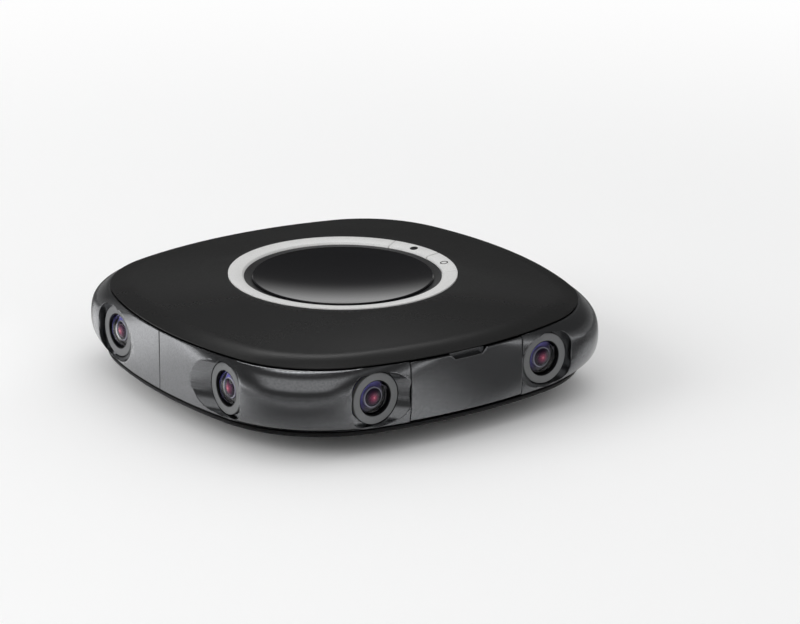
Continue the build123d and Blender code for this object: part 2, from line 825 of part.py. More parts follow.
glass_seat = -bezel_thickness
glass_back = glass_seat - front_glass_edge
hollow_top = front_glass_rise - front_glass_centre
inner_seat = glass_back - inner_glass_drop - inner_glass_edge
barrel_back = -bezel_thickness - barrel_length
rear_pocket = barrel_back + barrel_rear_depth
for number, (side, end) in enumerate(lens_stations, start=1):
    with BuildPart() as lens_bezel:
        with BuildSketch(lens_section(side, end)):
            with BuildLine():
                Polyline(
                    (bezel_opening_radius, glass_seat),
                    (bezel_radius, glass_seat),
                    (bezel_radius, 0),
                    (bezel_opening_radius + bezel_bevel, 0),
                    (bezel_opening_radius, -bezel_bevel),
                    close=True,
                )
            make_face()
        revolve(axis=lens_axis(side, end))
    lens_bezel.part.label = f"lens_bezel_{number}"
    export_step(lens_bezel.part, f"parts/lens_bezel_{number}.step")

    with BuildPart() as front_element:
        with BuildSketch(lens_section(side, end)):
            with BuildLine():
                glass_shoulder = bezel_opening_radius - seat_gap
                TangentArc((0, front_glass_rise), (glass_shoulder, glass_seat), tangent=(1, 0))
                Polyline(
                    (glass_shoulder, glass_seat),
                    (front_glass_radius, glass_seat),
                    (front_glass_radius, glass_back),
                    (front_glass_hollow_radius, glass_back),
                )
                TangentArc(
                    (0, hollow_top),
                    (front_glass_hollow_radius, glass_back),
                    tangent=(1, 0),
                )
                Line((0, hollow_top), (0, front_glass_rise))
            make_face()
        revolve(axis=lens_axis(side, end))
    front_element.part.label = f"front_element_{number}"
    export_step(front_element.part, f"parts/front_element_{number}.step")

    with BuildPart() as lens_barrel:
        with BuildSketch(lens_section(side, end)):
            with BuildLine():
                Polyline(
                    (front_glass_radius + fit_gap, glass_seat),
                    (flange_radius, glass_seat),
                    (flange_radius, glass_seat - flange_length),
                    (barrel_radius, glass_seat - flange_length),
                    (barrel_radius, barrel_back),
                    (barrel_rear_radius, barrel_back),
                    (barrel_rear_radius, rear_pocket),
                    (barrel_bore_radius, rear_pocket),
                    (barrel_bore_radius, inner_seat),
                    (inner_glass_radius + fit_gap, inner_seat),
                    (inner_glass_radius + fit_gap, glass_back),
                    (front_glass_radius + fit_gap, glass_back),
                    close=True,
                )
            make_face()
        revolve(axis=lens_axis(side, end))
    lens_barrel.part.label = f"lens_barrel_{number}"
    export_step(lens_barrel.part, f"parts/lens_barrel_{number}.step")

with BuildPart() as inner_elements:
    for side, end in lens_stations:
        with BuildSketch(lens_section(side, end)):
            with BuildLine():
                Polyline(
                    (0, inner_seat + inner_glass_edge + inner_glass_dome),
                    (0, inner_seat),
                    (inner_glass_radius, inner_seat),
                    (inner_glass_radius, inner_seat + inner_glass_edge),
                )
                TangentArc(
                    (0, inner_seat + inner_glass_edge + inner_glass_dome),
                    (inner_glass_radius, inner_seat + inner_glass_edge),
                    tangent=(1, 0),
                )
            make_face()
        revolve(axis=lens_axis(side, end))
inner_elements.part.label = "inner_elements"

with BuildPart() as sensor_boards:
    for side, end in lens_stations:
        with BuildSketch(lens_plane_at(side, end, -barrel_back)):
            Rectangle(sensor_board_width, sensor_board_width)
        extrude(amount=-sensor_board_thickness)
sensor_boards.part.label = "sensor_boards"

with BuildPart() as image_sensors:
    for side, end in lens_stations:
        with BuildSketch(lens_plane_at(side, end, -barrel_back)):
            Rectangle(sensor_width, sensor_height)
        extrude(amount=sensor_thickness)
image_sensors.part.label = "image_sensors"

# Chassis: a plate inside the bottom cover's lip, with a cradle under each barrel
stud_places = [
    (x, y)
    for x in (-board_screw_offset, board_screw_offset)
    for y in (-board_screw_offset, board_screw_offset)
]
port_board_middle = bay_face - frame_depth - seat_gap - port_board_depth / 2
with BuildPart() as chassis:
    extrude(
        bottom_outline(chassis_level, lip_inset + lip_wall + chassis_gap),
        amount=chassis_thickness,
    )
    with BuildSketch(Plane.XY.offset(chassis_level)):
        RectangleRounded(chassis_window_width, chassis_window_width, post_radius)
    extrude(amount=chassis_thickness, mode=Mode.SUBTRACT)
    with BuildSketch(Plane.XY.offset(chassis_level)):
        with Locations(*post_places):
            Circle(screw_radius + running_gap)
    extrude(amount=chassis_thickness, mode=Mode.SUBTRACT)
    with BuildSketch(Plane.XY.offset(chassis_top)):
        with Locations(*stud_places):
            Circle(board_stud_radius)
    extrude(amount=board_stud_height)
    with BuildSketch(Plane.XY.offset(chassis_top + board_stud_height)):
        with Locations(*stud_places):
            Circle(screw_radius)
    extrude(amount=-board_stud_height - chassis_thickness, mode=Mode.SUBTRACT)
    with BuildSketch(Plane.XY.offset(chassis_top)):
        for x in (-port_board_width / 4, port_board_width / 4):
            with Locations((x, -port_board_middle)):
                Rectangle(board_stud_radius * 2, port_board_depth / 2)
    extrude(amount=port_board_top - port_board_thickness - chassis_top)
    for side, end in lens_stations:
        with BuildSketch(lens_plane_at(side, end, cradle_setback)):
            with Locations((0, chassis_top - lens_height)):
                Rectangle(cradle_width, cradle_rise, align=(Align.CENTER, Align.MIN))
            Circle(barrel_radius + fit_gap, mode=Mode.SUBTRACT)
        extrude(amount=-cradle_length)
chassis.part.label = "chassis"

# Boards, battery and the rest that the chassis carries
main_board_level = chassis_top + board_stud_height
main_board_top = main_board_level + main_board_thickness
with BuildPart() as main_board:
    with BuildSketch(Plane.XY.offset(main_board_level)):
        RectangleRounded(main_board_width, main_board_width, board_stud_radius)
        with Locations(*stud_places):
            Circle(screw_radius + running_gap, mode=Mode.SUBTRACT)
    extrude(amount=main_board_thickness)
main_board.part.label = "main_board"

with BuildPart() as board_screws:
    with BuildSketch(Plane.XY.offset(main_board_top)):
        with Locations(*stud_places):
            Circle(screw_head_radius)
    extrude(amount=screw_head_height)
    with BuildSketch(Plane.XY.offset(main_board_top)):
        with Locations(*stud_places):
            Circle(screw_radius - fit_gap)
    extrude(amount=-board_screw_length)
board_screws.part.label = "board_screws"

with BuildPart() as chips:
    with BuildSketch(Plane.XY.offset(main_board_top)):
        Rectangle(processor_width, processor_width)
        with Locations((-memory_offset, 0), (memory_offset, 0), (0, memory_offset)):
            Rectangle(memory_width, memory_width)
    extrude(amount=chip_height)
chips.part.label = "chips"

with BuildPart() as heat_spreader:
    with BuildSketch(Plane.XY.offset(main_board_top + chip_height)):
        RectangleRounded(spreader_width, spreader_width, board_stud_radius)
    extrude(amount=spreader_thickness)
heat_spreader.part.label = "heat_spreader"

bracket_level = main_board_top + chip_height + spreader_thickness
battery_level = bracket_level + bracket_thickness
battery_height = button_board_top - button_board_thickness - battery_headroom - battery_level
bracket_reach = main_board_width / 2 + 2 * bracket_thickness
pocket_length = battery_length + 2 * bracket_clearance
pocket_width = battery_width + 2 * bracket_clearance
with BuildPart() as battery_bracket:
    with BuildSketch(Plane.XY.offset(bracket_level)):
        Rectangle(pocket_length + 2 * bracket_thickness, pocket_width + 2 * bracket_thickness)
        Rectangle(2 * bracket_reach, bracket_leg_width)
    extrude(amount=bracket_thickness)
    with BuildSketch(Plane.XY.offset(battery_level)):
        Rectangle(pocket_length + 2 * bracket_thickness, pocket_width + 2 * bracket_thickness)
        Rectangle(pocket_length, pocket_width, mode=Mode.SUBTRACT)
    extrude(amount=battery_height / 2)
    with BuildSketch(Plane.XY.offset(bracket_level)):
        for x in (-bracket_reach, bracket_reach - bracket_thickness):
            with Locations((x, 0)):
                Rectangle(
                    bracket_thickness,
                    bracket_leg_width,
                    align=(Align.MIN, Align.CENTER),
                )
    extrude(amount=chassis_top - bracket_level)
battery_bracket.part.label = "battery_bracket"

with BuildPart() as battery:
    with BuildSketch(Plane.XY.offset(battery_level)):
        RectangleRounded(battery_length, battery_width, battery_round)
    extrude(amount=battery_height)
battery.part.label = "battery"

with BuildPart() as microphones:
    with BuildSketch(Plane.XY.offset(main_board_top)):
        for side in range(4):
            with Locations(side_plane(side, microphone_offset).origin):
                Rectangle(microphone_length, microphone_width)
    extrude(amount=microphone_height)
microphones.part.label = "microphones"

with BuildPart() as wifi_antenna:
    with BuildSketch(Plane.XY.offset(chassis_top)):
        with Locations((0, antenna_offset)):
            Rectangle(antenna_length, antenna_width)
    extrude(amount=antenna_thickness)
wifi_antenna.part.label = "wifi_antenna"

for piece in (
    front_corner_band, right_corner_band, back_corner_band, left_corner_band, port_door,
    door_hinge_pin, port_frame, door_seal, port_board, usb_socket, card_socket, top_cover,
    bottom_cover, tripod_insert, rubber_feet, cover_screws, trim_ring, power_button,
    record_button, ring_surround, centre_dish, button_board, button_switches, inner_elements,
    sensor_boards, image_sensors, chassis, main_board, board_screws, chips, heat_spreader,
    battery_bracket, battery, microphones, wifi_antenna,
):
    export_step(piece.part, f"parts/{piece.part.label}.step")
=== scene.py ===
"""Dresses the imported 360 degree camera: its shells, ring, lenses and finishes.

It stands on a plain pale floor in soft studio light.
"""

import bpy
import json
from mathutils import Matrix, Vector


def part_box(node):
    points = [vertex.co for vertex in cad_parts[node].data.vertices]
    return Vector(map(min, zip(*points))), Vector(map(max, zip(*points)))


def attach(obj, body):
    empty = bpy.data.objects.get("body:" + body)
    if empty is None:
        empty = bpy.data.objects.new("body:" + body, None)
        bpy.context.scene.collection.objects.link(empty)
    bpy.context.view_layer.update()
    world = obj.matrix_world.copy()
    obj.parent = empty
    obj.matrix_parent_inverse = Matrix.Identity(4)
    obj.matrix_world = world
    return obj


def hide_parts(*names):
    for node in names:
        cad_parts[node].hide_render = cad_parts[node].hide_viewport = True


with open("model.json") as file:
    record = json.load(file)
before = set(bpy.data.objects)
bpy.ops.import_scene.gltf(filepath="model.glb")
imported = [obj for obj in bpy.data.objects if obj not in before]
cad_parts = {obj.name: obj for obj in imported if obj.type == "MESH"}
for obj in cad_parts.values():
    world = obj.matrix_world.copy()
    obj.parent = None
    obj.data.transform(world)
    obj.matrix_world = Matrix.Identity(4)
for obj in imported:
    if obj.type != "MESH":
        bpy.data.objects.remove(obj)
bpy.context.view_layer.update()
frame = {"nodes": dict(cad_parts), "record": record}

import json
import logging
import math
from dataclasses import dataclass, field
from enum import Enum

import bmesh
import bpy
from mathutils import Matrix, Vector

MM = 0.001
LOG = logging.getLogger("camera")
SHARP = math.radians(33)  # Edges that turn more than this stay crisp
FLAT = math.radians(0.2)  # Faces that turn less than this are one face
MERGE = 0.002 * MM  # Corners closer than this are one corner
FACING_OUT = 0.5  # Least cosine between an outward face and straight out
ALONG_AXIS = 0.9  # Least share of an edge's run that lies along its axis
ROUND = 96  # Steps in a full turn of a lens piece
WHITE = "#ffffff"


class Body(Enum):
    """The CAD bodies that pieces ride on."""

    HOUSING = "housing"
    DOOR = "door"
    POWER = "power"
    RECORD = "record"


class Grain(Enum):
    """How a finish was made, which decides its fine pattern."""

    MOULDED = "moulded"
    FLAKE = "flake"
    BLASTED = "blasted"
    TURNED = "turned"


def linear(code: str) -> tuple[float, float, float, float]:
    """Turns an sRGB hex code into a linear colour.

    Args:
        code: Six hex digits after a hash sign.

    Returns:
        Red, green, blue and alpha.
    """
    parts = [int(code[i : i + 2], 16) / 255 for i in (1, 3, 5)]
    red, green, blue = (p / 12.92 if p <= 0.04045 else ((p + 0.055) / 1.055) ** 2.4 for p in parts)
    return red, green, blue, 1.0


def add_node(tree: bpy.types.NodeTree, kind: str, settings: dict, inputs: dict) -> bpy.types.Node:
    """Adds one node with its settings, values and links.

    Args:
        tree: The node tree that it joins.
        kind: The node's type name without its ShaderNode prefix.
        settings: Properties of the node.
        inputs: A value or an output socket for each input's name or number.

    Returns:
        The new node.
    """
    made = tree.nodes.new("ShaderNode" + kind)
    for name, value in settings.items():
        setattr(made, name, value)
    for name, value in inputs.items():
        if isinstance(value, bpy.types.NodeSocket):
            tree.links.new(value, made.inputs[name])
        else:
            made.inputs[name].default_value = value
    return made


def new_material(name: str) -> tuple[bpy.types.Material, bpy.types.NodeTree]:
    """Makes a material with an empty node tree.

    Args:
        name: What the real material is.

    Returns:
        The material and its tree.
    """
    material = bpy.data.materials.new(name)
    material.use_nodes = True
    material.node_tree.nodes.clear()
    return material, material.node_tree


def mesh_of(name: str, form: bmesh.types.BMesh) -> bpy.types.Mesh:
    """Turns a form, which is used up, into a mesh."""
    mesh = bpy.data.meshes.new(name)
    form.to_mesh(mesh)
    form.free()
    return mesh


def linked(name: str, data: bpy.types.ID) -> bpy.types.Object:
    """Makes an object from its data and links it to the scene."""
    made = bpy.data.objects.new(name, data)
    bpy.context.scene.collection.objects.link(made)
    return made


@dataclass(frozen=True)
class Finish:
    """One real finish: what it is made of and how its surface was made."""

    name: str
    light: str
    dark: str
    roughness: float
    grain: Grain = Grain.MOULDED
    grain_mm: float = 0.6
    relief_mm: float = 0.01
    metallic: float = 0.0
    specular: float = 0.5
    coat: float = 0.0
    coat_roughness: float = 0.05
    sheen: float = 0.0
    wander: float = 0.05
    veil: float = 0.0
    cloud_scale: float = 60.0
    cloud_share: float = 0.5
    spread: tuple[float, float] = (0.4, 1.1)
    turned_stretch: float = 0.1
    veil_facing: tuple[float, float] = (0.6, 0.8)

    def make(self) -> bpy.types.Material:
        """Builds the material.

        Returns:
            A material whose colour, roughness and relief follow the grain.
        """
        material, tree = new_material(self.name)
        place = add_node(tree, "TexCoord", {}, {}).outputs["Object"]
        scale = 1 / (self.grain_mm * MM)
        if self.grain is Grain.FLAKE:
            fine = add_node(tree, "TexVoronoi", {}, {"Vector": place, "Scale": scale})
            flake = {"Color": fine.outputs["Color"]}
            value = add_node(tree, "SeparateColor", {}, flake).outputs["Red"]
        elif self.grain is Grain.TURNED:
            across = scale * self.turned_stretch
            stretched = add_node(
                tree, "Mapping", {}, {"Vector": place, "Scale": (across, across, scale)}
            ).outputs["Vector"]
            marks = add_node(tree, "TexNoise", {}, {"Vector": stretched, "Scale": 1.0})
            value = marks.outputs["Fac"]
        else:
            value = add_node(
                tree, "TexNoise", {}, {"Vector": place, "Scale": scale, "Detail": 3.0}
            ).outputs["Fac"]
        broad = add_node(tree, "TexNoise", {}, {"Vector": place, "Scale": self.cloud_scale})
        both = add_node(
            tree,
            "Math",
            {"operation": "MULTIPLY_ADD"},
            {0: broad.outputs["Fac"], 1: self.cloud_share, 2: value},
        ).outputs[0]
        low, high = self.spread
        spread = add_node(
            tree, "MapRange", {}, {"Value": both, "From Min": low, "From Max": high}
        ).outputs["Result"]
        colour = add_node(
            tree,
            "Mix",
            {"data_type": "RGBA"},
            {"Factor": spread, 6: linear(self.dark), 7: linear(self.light)},
        ).outputs[2]
        rough = add_node(
            tree,
            "MapRange",
            {},
            {
                "Value": spread,
                "To Min": self.roughness + self.wander,
                "To Max": self.roughness - self.wander,
            },
        ).outputs["Result"]
        if self.veil:
            # A soft skin scatters more the flatter it is seen
            facing = add_node(tree, "LayerWeight", {}, {"Blend": 0.5}).outputs["Facing"]
            low, high = self.veil_facing
            haze = add_node(
                tree,
                "MapRange",
                {},
                {"Value": facing, "From Min": low, "From Max": high, "To Max": self.veil},
            ).outputs["Result"]
            rough = add_node(tree, "Math", {"operation": "ADD"}, {0: rough, 1: haze}).outputs[0]
        relief = add_node(
            tree, "Bump", {}, {"Strength": 1.0, "Distance": self.relief_mm * MM, "Height": value}
        ).outputs["Normal"]
        shader = add_node(
            tree,
            "BsdfPrincipled",
            {},
            {
                "Base Color": colour,
                "Roughness": rough,
                "Metallic": self.metallic,
                "Specular IOR Level": self.specular,
                "Coat Weight": self.coat,
                "Coat Roughness": self.coat_roughness,
                "Sheen Weight": self.sheen,
                "Normal": relief,
            },
        )
        add_node(tree, "OutputMaterial", {}, {"Surface": shader.outputs[0]})
        return material


# Each of the record's material slots, with the finish that its nodes wear.
FINISHES = {
    # Painted ABS: a soft matt skin that returns light only broadly
    "soft_touch_cover": Finish(
        "soft_touch_abs",
        "#262626",
        "#222222",
        0.22,
        grain_mm=0.7,
        relief_mm=0.001,
        specular=0.1,
        wander=0.03,
        veil=0.65,
    ),
    # Metallic lacquer: flake under a clear gloss coat, drawn coarser than real so that it shows
    "band_lacquer": Finish(
        "gunmetal_lacquer",
        "#868789",
        "#7c7d7f",
        0.2,
        Grain.FLAKE,
        grain_mm=0.3,
        relief_mm=0.0005,
        metallic=1.0,
        coat=0.2,
        wander=0.02,
    ),
    # Blasted and anodised aluminium: a pale satin with a fine sparkle
    "ring_silver": Finish(
        "anodised_aluminium",
        "#e2e2e1",
        "#cdcdcc",
        0.5,
        Grain.BLASTED,
        grain_mm=0.45,
        relief_mm=0.012,
        metallic=0.15,
        specular=0.3,
    ),
    # Spark textured ABS: an even mid grey
    "bezel_grey": Finish(
        "textured_grey_abs", "#737475", "#6a6b6c", 0.55, relief_mm=0.006, grain_mm=0.4, specular=0.3
    ),
    # Polished polycarbonate: dark and clear enough to mirror the room
    "dish_gloss": Finish(
        "polished_black_pc", "#131315", "#111113", 0.1, relief_mm=0.0, specular=0.3, wander=0.02
    ),
    # Satin polycarbonate: black, with a soft edge to what it mirrors
    "surround_dark": Finish(
        "satin_black_pc", "#232324", "#1f1f20", 0.36, relief_mm=0.003, specular=0.3
    ),
    # Coated glass: smooth and pale, worn by the nodes that the lens pieces stand for
    "lens_glass": Finish("coated_glass", WHITE, WHITE, 0.02, relief_mm=0.0, wander=0.0),
    # Moulded ABS: black with a low sheen
    "black_plastic": Finish("black_abs", "#131314", "#101011", 0.5, relief_mm=0.006, specular=0.15),
    # Moulded silicone: black, soft and dull
    "silicone_black": Finish(
        "silicone_rubber", "#202021", "#1c1c1d", 0.6, relief_mm=0.01, sheen=0.1
    ),
    # Rolled stainless steel: pale, with a line to its shine
    "steel": Finish(
        "rolled_steel", "#a7a9ab", "#999b9d", 0.3, Grain.TURNED, relief_mm=0.004, metallic=1.0
    ),
    # Turned brass: warm, with fine turning marks
    "insert_brass": Finish(
        "turned_brass", "#c9a657", "#b8954a", 0.28, Grain.TURNED, relief_mm=0.004, metallic=1.0
    ),
    # Moulded rubber: near black and dull
    "foot_rubber": Finish("moulded_rubber", "#232323", "#1d1d1d", 0.75, relief_mm=0.02, sheen=0.15),
    # Blacked steel: dark, with a hard glint
    "screw_black": Finish(
        "blacked_steel", "#2b2b2d", "#242426", 0.35, metallic=0.8, relief_mm=0.003
    ),
    # Solder mask over copper: deep green and smooth
    "board_green": Finish(
        "solder_mask", "#1d4a2c", "#17402a", 0.35, relief_mm=0.006, grain_mm=1.2
    ),
    # Moulded epoxy: black and slightly rough
    "chip_black": Finish("moulded_epoxy", "#1b1b1c", "#171718", 0.5, relief_mm=0.006),
    # Cast magnesium: a grey, grainy metal
    "chassis_magnesium": Finish(
        "cast_magnesium", "#8f9193", "#818385", 0.5, metallic=0.7, relief_mm=0.015, grain_mm=0.9
    ),
    # Polyester film round the cells: dark blue and shiny
    "battery_wrap": Finish(
        "polyester_wrap", "#2c3b52", "#263449", 0.3, relief_mm=0.01, grain_mm=2.0
    ),
    # Silicon under its cover glass: violet and mirror smooth
    "sensor_die": Finish("silicon_die", "#3a3350", "#2b2a45", 0.12, relief_mm=0.0, coat=0.5),
}


@dataclass
class Workshop:
    """Makes finishes once and turns bmeshes into dressed pieces."""

    made: dict[str, bpy.types.Material] = field(default_factory=dict)

    def finish(self, slot: str) -> bpy.types.Material:
        """Gives the material for one slot, made on first use."""
        if slot not in self.made:
            self.made[slot] = FINISHES[slot].make()
        return self.made[slot]

    def piece(
        self,
        name: str,
        form: bmesh.types.BMesh,
        body: Body,
        slot: str,
        nodes: tuple[str, ...] = (),
        material: bpy.types.Material | None = None,
    ) -> bpy.types.Object:
        """Turns a form at its place into a dressed piece.

        Args:
            name: The piece's name.
            form: Its shape, in metres, at its place in the frame.
            body: The CAD body that it rides on.
            slot: The record's material slot.
            nodes: CAD nodes that it stands for.
            material: Its own material, if not the slot's finish.

        Returns:
            The piece.
        """
        for face in form.faces:
            face.smooth = True
        for edge in form.edges:
            edge.smooth = len(edge.link_faces) == 2 and edge.calc_face_angle(0.0) < SHARP
        mesh = mesh_of(name, form)
        mesh.materials.append(material or self.finish(slot))
        made = linked(name, mesh)
        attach(made, body.value)
        if nodes:
            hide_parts(*nodes)
        LOG.info("%s on %s, %d faces", name, body.value, len(mesh.polygons))
        return made


def merged_copy(node: str) -> bmesh.types.BMesh:
    """Copies a CAD node's mesh and joins its loose triangles.

    Args:
        node: The node's name.

    Returns:
        One closed form.
    """
    form = bmesh.new()
    form.from_mesh(frame["nodes"][node].data)
    bmesh.ops.remove_doubles(form, verts=form.verts, dist=MERGE)
    return form


def turned(profile: list[tuple[float, float]], steps: int) -> bmesh.types.BMesh:
    """Turns a closed profile round the Z axis.

    Args:
        profile: Radius and height of each corner, in millimetres.
        steps: How many steps make the full turn.

    Returns:
        The solid of revolution, in metres.
    """
    form = bmesh.new()
    corners = [form.verts.new((r * MM, 0, z * MM)) for r, z in profile]
    sides = [form.edges.new((a, b)) for a, b in zip(corners, corners[1:])]
    if profile[0][0] > 0 or profile[-1][0] > 0:
        sides.append(form.edges.new((corners[-1], corners[0])))
    bmesh.ops.spin(
        form,
        geom=corners + sides,
        cent=(0, 0, 0),
        axis=(0, 0, 1),
        angle=2 * math.pi,
        steps=steps,
        use_merge=True,
    )
    bmesh.ops.remove_doubles(form, verts=form.verts, dist=MERGE)
    bmesh.ops.recalc_face_normals(form, faces=form.faces)
    return form


def soften(form: bmesh.types.BMesh, width_mm: float, segments: int) -> None:
    """Rounds every sharp edge of a form.

    Args:
        form: The form, in metres.
        width_mm: How far the rounding reaches from the edge.
        segments: How many steps it takes.
    """
    sharp = [e for e in form.edges if len(e.link_faces) == 2 and e.calc_face_angle() > SHARP]
    bmesh.ops.bevel(
        form,
        geom=sharp,
        offset=width_mm * MM,
        offset_type="OFFSET",
        affect="EDGES",
        segments=segments,
        profile=0.5,
        material=-1,
        clamp_overlap=True,
    )


def cut_away(form: bmesh.types.BMesh, blocks: list[bmesh.types.BMesh]) -> bmesh.types.BMesh:
    """Cuts blocks out of a form.

    Args:
        form: The form to cut, which is used up.
        blocks: What to take away, which is used up too.

    Returns:
        What is left.
    """
    held = [linked("cutting", mesh_of("cutting", part)) for part in (form, *blocks)]
    for block in held[1:]:
        cut = held[0].modifiers.new("cut", "BOOLEAN")
        cut.operation = "DIFFERENCE"
        cut.solver = "EXACT"
        cut.object = block
    seen = held[0].evaluated_get(bpy.context.evaluated_depsgraph_get())
    left = bpy.data.meshes.new_from_object(seen)
    result = bmesh.new()
    result.from_mesh(left)
    bmesh.ops.remove_doubles(result, verts=result.verts, dist=MERGE)
    for used in held:
        bpy.data.meshes.remove(used.data)
    bpy.data.meshes.remove(left)
    return result


def even_shading(piece: bpy.types.Object) -> None:
    """Lets the large faces of a piece decide how its rounded edges shade."""
    weight = piece.modifiers.new("even_shading", "WEIGHTED_NORMAL")
    weight.mode = "FACE_AREA"
    weight.keep_sharp = True


@dataclass
class Shells:
    """The covers, the four band corners and the port door, smoothed from the CAD."""

    band_corners: tuple[str, ...] = (
        "front_corner_band",
        "right_corner_band",
        "back_corner_band",
        "left_corner_band",
    )
    lip_round: float = 0.22
    lip_segments: int = 3
    side_reach: float = 58.3
    corner_reach: float = 64.0
    recess_reach: float = 8.3
    recess_height: float = 14.5
    recess_depth: float = 6.0
    recess_floor: float = 55.35
    recess_round: float = 4.5
    recess_start: float = 1.0
    recess_segments: int = 10
    scoop_radius: float = 7.3
    scoop_height: float = 4.5
    side_slope: float = 1.6
    door_slope: float = 1.0

    def outer(self, edge: bmesh.types.BMEdge) -> bool:
        """Tells whether an edge bounds the band's outer surface.

        Args:
            edge: An edge of a band or door form.

        Returns:
            True where one of its faces is part of the outside.
        """
        for face in edge.link_faces:
            spot = face.calc_center_median()
            out = Vector((spot.x, spot.y, 0)).normalized()
            side = max(abs(spot.x), abs(spot.y)) > self.side_reach * MM
            corner = (abs(spot.x) + abs(spot.y)) / math.sqrt(2) > self.corner_reach * MM
            if face.normal.dot(out) > FACING_OUT and (side or corner):
                return True
        return False

    def recess(self, side: int, end: int) -> bmesh.types.BMesh:
        """Makes the block that squares off a lens recess on its corner side.

        Args:
            side: Which side of the body, from 0 at the door.
            end: 1 for the lens at the side's far end, -1 for the other.

        Returns:
            The block, at its place.
        """
        form = bmesh.new()
        bmesh.ops.create_cube(form, size=1.0)
        size = (2 * self.recess_reach, self.recess_depth, self.recess_height)
        bmesh.ops.scale(form, vec=[length * MM for length in size], verts=form.verts)
        inward = []
        for edge in form.edges:
            run = edge.verts[0].co - edge.verts[1].co
            if abs(run.normalized().y) > ALONG_AXIS:
                inward.append(edge)
        bmesh.ops.bevel(
            form,
            geom=inward,
            offset=self.recess_round * MM,
            offset_type="OFFSET",
            affect="EDGES",
            segments=self.recess_segments,
            profile=0.5,
            material=-1,
            clamp_overlap=False,
        )
        bmesh.ops.bisect_plane(
            form,
            geom=form.verts[:] + form.edges[:] + form.faces[:],
            plane_co=(end * self.recess_start * MM, 0, 0),
            plane_no=(-end, 0, 0),
            clear_outer=True,
        )
        rim = [edge for edge in form.edges if len(edge.link_faces) == 1]
        bmesh.ops.contextual_create(form, geom=rim)
        bmesh.ops.recalc_face_normals(form, faces=form.faces)
        lens = LensSet()
        out = self.recess_floor + self.recess_depth / 2
        place = Matrix.Rotation(math.radians(90 * side), 4, "Z") @ Matrix.Translation(
            (end * lens.spacing / 2 * MM, -out * MM, lens.height * MM)
        )
        bmesh.ops.transform(form, matrix=place, verts=form.verts)
        return form

    def scoop(self, side: int, end: int) -> bmesh.types.BMesh:
        """Makes the leaning cylinder that slopes a lens recess up to the flat of the side.

        It leans less beside the port door, where the slope is narrower.

        Args:
            side: Which side of the body, from 0 at the door.
            end: 1 for the lens at the side's far end, -1 for the other.

        Returns:
            The cylinder, at its place.
        """
        form = bmesh.new()
        bmesh.ops.create_cone(
            form,
            cap_ends=True,
            segments=ROUND,
            radius1=self.scoop_radius * MM,
            radius2=self.scoop_radius * MM,
            depth=self.scoop_height * MM,
        )
        top = [corner for corner in form.verts if corner.co.z > 0]
        run = (self.side_slope if side else self.door_slope) * self.scoop_height
        bmesh.ops.translate(form, vec=(-end * run * MM, 0, 0), verts=top)
        bmesh.ops.translate(form, vec=(0, 0, self.scoop_height / 2 * MM), verts=form.verts)
        number = 2 * side + (2 if end > 0 else 1)
        bmesh.ops.transform(form, matrix=LensSet().place(number), verts=form.verts)
        return form

    def lipped(self, node: str) -> bmesh.types.BMesh:
        """Copies a band or door node and rounds the lips of its outside.

        Args:
            node: The node's name.

        Returns:
            The form, no larger than the node.
        """
        form = merged_copy(node)
        if node in self.band_corners:
            turn = self.band_corners.index(node)
            blocks = []
            for side, end in (((turn + 3) % 4, 1), (turn, -1)):
                blocks += [self.recess(side, end), self.scoop(side, end)]
            form = cut_away(form, blocks)
        lips = [
            edge
            for edge in form.edges
            if edge.is_convex and edge.calc_face_angle() > SHARP and self.outer(edge)
        ]
        bmesh.ops.bevel(
            form,
            geom=lips,
            offset=self.lip_round * MM,
            offset_type="OFFSET",
            affect="EDGES",
            segments=self.lip_segments,
            profile=0.5,
            material=-1,
            clamp_overlap=False,
        )
        low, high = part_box(node)
        for corner in form.verts:
            corner.co = [min(max(c, a), b) for c, a, b in zip(corner.co, low, high)]
        return form

    def build(self, shop: Workshop) -> None:
        """Makes every shell piece."""
        top, door, base = "top_cover", "port_door", "bottom_cover"
        shop.piece("top_shell", merged_copy(top), Body.HOUSING, "soft_touch_cover", (top,))
        lipped = [(node, Body.HOUSING) for node in self.band_corners] + [(door, Body.DOOR)]
        for node, body in lipped:
            form = self.lipped(node)
            even_shading(shop.piece(node + "_shell", form, body, "band_lacquer", (node,)))
        shop.piece("base_shell", merged_copy(base), Body.HOUSING, "black_plastic", (base,))


